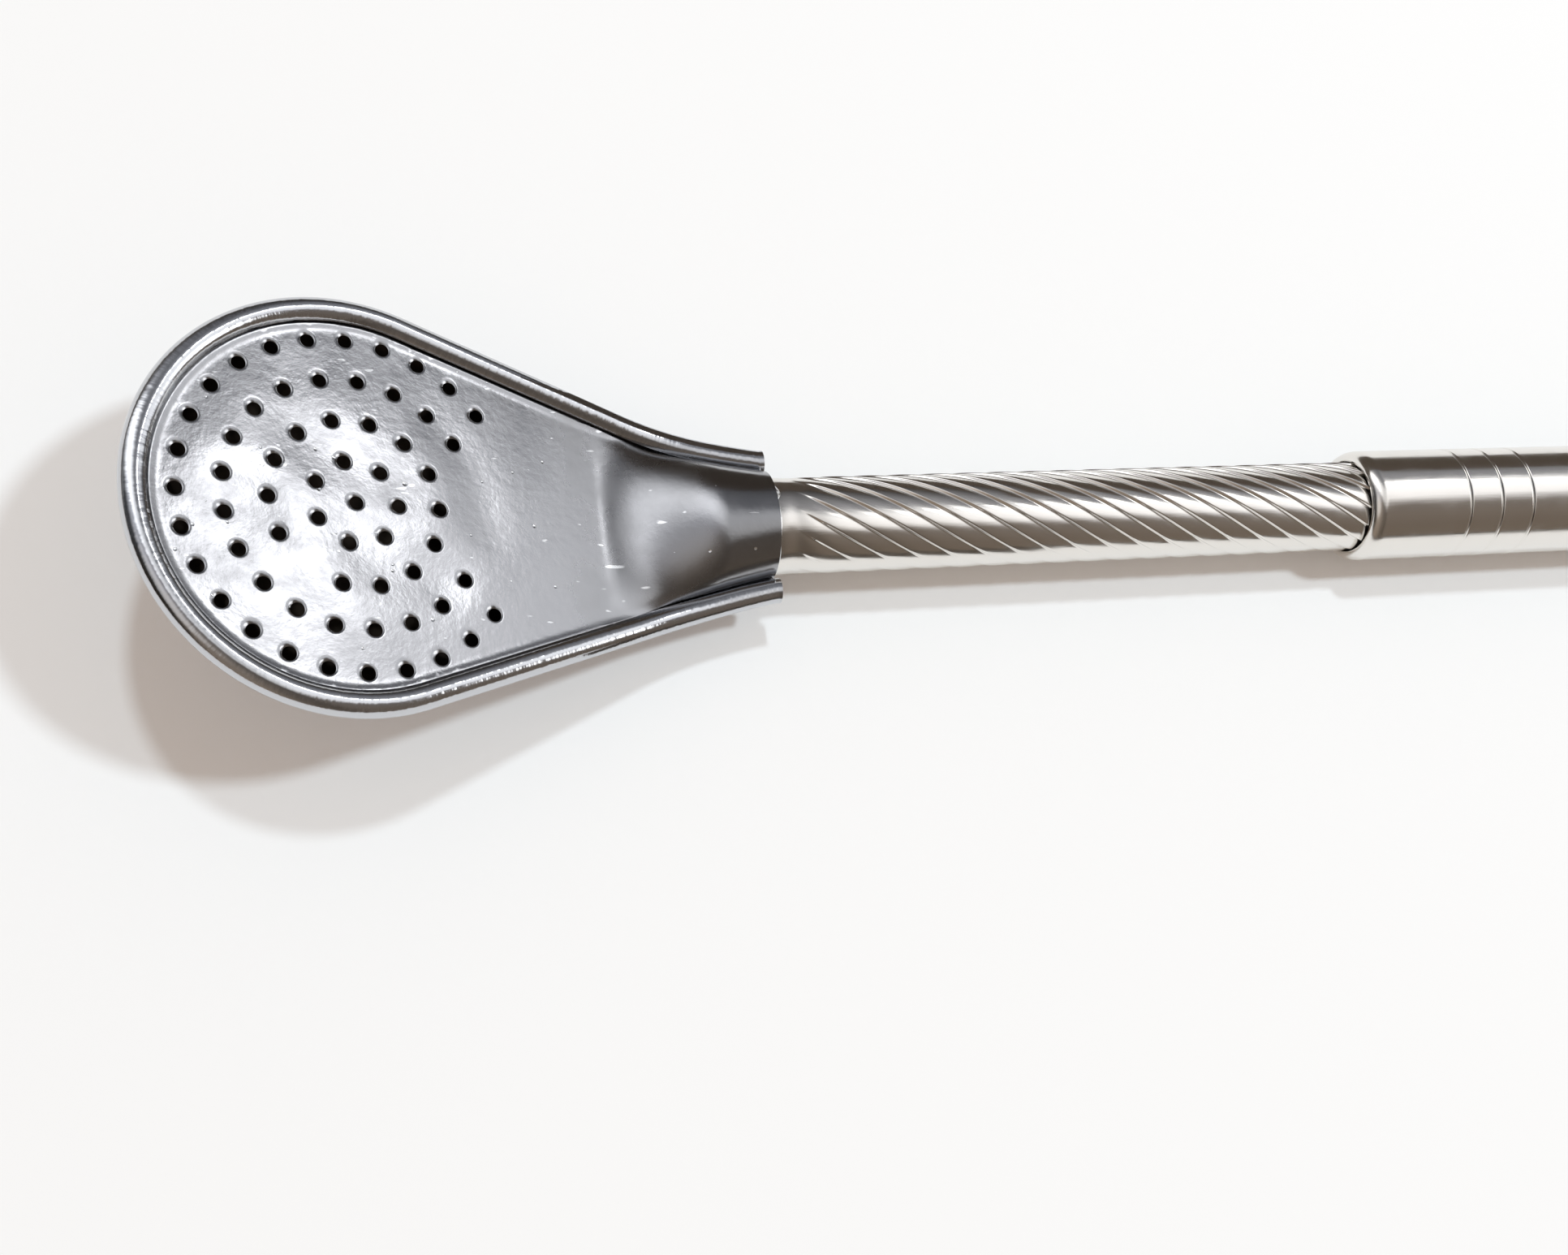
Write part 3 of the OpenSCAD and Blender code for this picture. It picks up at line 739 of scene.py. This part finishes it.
def dress():
    """Makes every piece, lets it stand for its solid and ride on that solid's body."""
    sheet, rim, inside = tumbled_stainless_sheet(), polished_stainless_rim(), shaded_inside_steel()
    tube, solder = polished_stainless_tube(), soft_solder()
    made = [
        (filter_plate([sheet, inside]), "front_filter_plate", "filter_stem", "satin_steel"),
        (filter_bowl([rim, inside]), "back_filter_bowl", "filter_stem", "polished_steel"),
        (twisted_stem([tube]), "stem_tube", "filter_stem", "polished_steel"),
        (solder_bead([solder]), "neck_solder", "filter_stem", "solder"),
        (grip_sleeve([tube]), "grip_tube", "grip", "polished_steel"),
        (lip_piece([tube]), "mouthpiece", "grip", "polished_steel"),
    ]
    for piece, node, body, slot in made:
        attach(piece, body)
        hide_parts(node)


# Camera, floor and light

CAMERA_AT = [-33.31, -39.52, 106.1]
CAMERA_RIGHT = (0.95571, -0.13542, 0.26132)
CAMERA_UP = (0.05059, 0.95023, 0.30741)
PHOTO_WIDTH_PX = 1932
FOCAL_PX = 2199.6
SENSOR_MM = 36
PAPER_WHITE = "#fdfdfc"
# Half the floor's width, where it fades to white, and how far off the lamps are, in metres
FLOOR_HALF = 4
FLOOR_FADE = (0.3, 0.8)
LAMP_OFF = 1.2
LAMP_COLOUR = "#e6f5ff"


def photo_camera():
    """Camera at the photograph's place, which is given in the straw's frame."""
    eye = Vector(to_row(CAMERA_AT))
    right = Vector(CAMERA_RIGHT).normalized()
    up = Vector(CAMERA_UP)
    up = (up - up.dot(right) * right).normalized()
    back = right.cross(up)
    data = bpy.data.cameras.new("camera")
    data.sensor_fit = "HORIZONTAL"
    data.sensor_width = SENSOR_MM
    data.lens = FOCAL_PX / PHOTO_WIDTH_PX * SENSOR_MM
    data.clip_start = 0.005
    camera = bpy.data.objects.new("camera", data)
    bpy.context.scene.collection.objects.link(camera)
    camera.matrix_world = Matrix((
        (right.x, up.x, back.x, eye.x),
        (right.y, up.y, back.y, eye.y),
        (right.z, up.z, back.z, eye.z),
        (0, 0, 0, 1)))
    bpy.context.scene.camera = camera


def matt_material(name, colour, roughness):
    """Material without any shine."""
    material, tree, inputs, place = new_material(name, colour, 0.0)
    inputs["Roughness"].default_value = roughness
    inputs["Specular IOR Level"].default_value = 0.0
    return material, tree, place


def paper_floor():
    """Plain warm white paper under the straw. Far out it turns to the white behind it for the camera."""
    mesh = bpy.data.meshes.new("floor")
    corners = [(x * FLOOR_HALF, y * FLOOR_HALF, 0) for x, y in ((-1, -1), (1, -1), (1, 1), (-1, 1))]
    mesh.from_pydata(corners, [], [(0, 1, 2, 3)])
    floor = bpy.data.objects.new("floor", mesh)
    bpy.context.scene.collection.objects.link(floor)
    material, tree, place = matt_material("matt_paper", PAPER_WHITE, 0.9)
    out = add(tree, "ShaderNodeVectorMath", {0: place}, operation="LENGTH").outputs["Value"]
    camera_ray = add(tree, "ShaderNodeLightPath").outputs["Is Camera Ray"]
    share = reckon(tree, "MULTIPLY", remap(tree, out, FLOOR_FADE, smooth=True), camera_ray)
    white = add(tree, "ShaderNodeEmission", {"Color": srgb(PAPER_WHITE)}).outputs["Emission"]
    seen = either(tree, share, tree.nodes["Principled BSDF"].outputs["BSDF"], white)
    tree.links.new(seen, tree.nodes["Material Output"].inputs["Surface"])
    mesh.materials.append(material)


# Dark cards: places along x, then the y of each card and its lower and upper edge at those places
CARD_X = [-9, 4, 7, 24, 27, 130]
CARDS = [
    (15, [-2, -2, -3.5, -3, 1.2, 1.5], [14, 14, 5.5, 6, 13.5, 14]),
    (-13, [-0.9, -0.9, -0.9, -0.9, 1.5, 1.5], [2.2, 2.2, 2.2, 2.2, 2.6, 2.6]),
]


def dark_flag():
    """Dark cards beside the stem and the grip that only polish sees, and that give the tubes dark edges."""
    mesh = bpy.data.meshes.new("flag")
    edges = [np.column_stack([CARD_X, np.full(len(CARD_X), y), z]) for y, *both in CARDS for z in both]
    faces = [grid_faces(2, len(CARD_X)) + 2 * len(CARD_X) * card for card in range(len(CARDS))]
    mesh.from_pydata(to_row(np.concatenate(edges)).tolist(), [], np.concatenate(faces).tolist())
    flag = bpy.data.objects.new("flag", mesh)
    bpy.context.scene.collection.objects.link(flag)
    flag.visible_camera = flag.visible_diffuse = flag.visible_shadow = False
    mesh.materials.append(matt_material("dark_card", "#665f58", 1.0)[0])


def lamp(name, way, across, share):
    """Disc lamp in that direction; share is what it adds to the floor's brightness, where 1 is white."""
    way = Vector(way).normalized()
    data = bpy.data.lights.new(name, "AREA")
    data.shape = "DISK"
    data.size = across
    data.color = srgb(LAMP_COLOUR)[:3]
    # A disc of power W gives the floor the irradiance W cos / (pi distance^2), and irradiance pi is white
    data.energy = share * np.pi**2 * LAMP_OFF**2 / way.z
    light = bpy.data.objects.new(name, data)
    bpy.context.scene.collection.objects.link(light)
    light.visible_glossy = False
    turn = way.to_track_quat("Z", "Y").to_matrix().to_4x4()
    light.matrix_world = Matrix.Translation(way * LAMP_OFF) @ turn


# What polished metal sees of the room: colour at each angle from overhead towards +Y, in degrees
ROOM_BANDS = [
    (-90, "#74685c"), (-64, "#73685e"), (-42, "#7a7067"), (-20, "#7a726c"), (0, "#8c8a8e"), (15, "#a2a3a8"),
    (33, "#a2a3a8"), (46, "#909195"), (60, "#747478"), (76, "#4c4a48"), (90, "#55514d"),
]
# How bright that room is along X, from -1 to 1
ROOM_ALONG = [
    (-1, 0.15), (-0.82, 0.2), (-0.6, 1.6), (-0.28, 1.6), (0.05, 0.85), (0.3, 0.6), (0.45, 1), (1, 1),
]
# A pale panel lies across overhead. Its middle leans to +Y on both sides of X = PANEL_AT, by
# PANEL_LEAN + PANEL_TURN |X - PANEL_AT|
PANEL_AT = 0.33
PANEL_LEAN = np.radians(-8)
PANEL_TURN = np.radians(60)
PANEL_EDGE = np.radians([29, 9])
PANEL_ADDS = 0.97
# Bright places in that room: direction, angle where it fades out, angle of its even middle, brightness
ROOM_SPOTS = [
    ((0.556, 0.348, 0.755), 4.8, 1.5, 5.6),
    ((0.9, -0.08, 0.43), 15, 7, 3.0),
    ((-0.58, -0.3, 0.76), 28, 4, 0.45),
]


def background(tree, colour, strength=1.0):
    """Surroundings that shine in that colour."""
    return add(tree, "ShaderNodeBackground", {"Color": colour, "Strength": strength}).outputs["Background"]


def mirrored_room(tree):
    """Colour of the room in every direction: its bands and panel, dimmed along X, and its bright places."""
    way = add(tree, "ShaderNodeTexCoord").outputs["Generated"]
    part = add(tree, "ShaderNodeSeparateXYZ", {"Vector": way}).outputs
    lean = reckon(tree, "ARCTAN2", part["Y"], part["Z"])
    stops = [((angle + 90) / 180, srgb(colour)) for angle, colour in ROOM_BANDS]
    bands = ramp(tree, remap(tree, lean, (-np.pi / 2, np.pi / 2)), stops)
    stops = [((x + 1) / 2, (bright, bright, bright, 1)) for x, bright in ROOM_ALONG]
    along = ramp(tree, remap(tree, part["X"], (-1.0, 1.0)), stops)
    beside = distance_from(tree, part["X"], PANEL_AT)
    middle = reckon(tree, "MULTIPLY_ADD", beside, PANEL_TURN, PANEL_LEAN)
    panel = remap(tree, distance_from(tree, lean, middle), PANEL_EDGE, (0.0, PANEL_ADDS), smooth=True)
    seen = blend(tree, 1.0, blend(tree, 1.0, bands, panel, "ADD"), along, "MULTIPLY")
    for towards, fade, core, brightness in ROOM_SPOTS:
        towards = tuple(Vector(towards).normalized())
        facing = add(tree, "ShaderNodeVectorMath", {0: way, 1: towards}, operation="DOT_PRODUCT")
        cosines = np.cos(np.radians([fade, core]))
        spot = remap(tree, facing.outputs["Value"], cosines, (0.0, brightness), smooth=True)
        seen = blend(tree, 1.0, seen, spot, "ADD")
    return seen


def studio_light():
    """Soft pale surroundings and two small lamps.

    Diffuse light comes evenly from a warm pale room, polished metal sees the room, and the camera sees white.
    """
    world = bpy.data.worlds.new("studio")
    bpy.context.scene.world = world
    world.use_nodes = True
    tree = world.node_tree
    tree.nodes.clear()
    plain = background(tree, srgb("#ffeee2"), 0.53)
    mirrored = background(tree, mirrored_room(tree))
    white = background(tree, srgb(PAPER_WHITE))
    path = add(tree, "ShaderNodeLightPath").outputs
    by_gloss = either(tree, path["Is Glossy Ray"], plain, mirrored)
    by_eye = either(tree, path["Is Camera Ray"], by_gloss, white)
    add(tree, "ShaderNodeOutputWorld", {"Surface": by_eye})
    lamp("key_lamp", (0.466, 0.046, 0.883), across=0.12, share=0.35)
    lamp("fill_lamp", (-0.03, 0.355, 0.934), across=0.1, share=0.245)


photo_camera()
dress()
paper_floor()
dark_flag()
studio_light()
bpy.context.scene.view_settings.view_transform = "Standard"
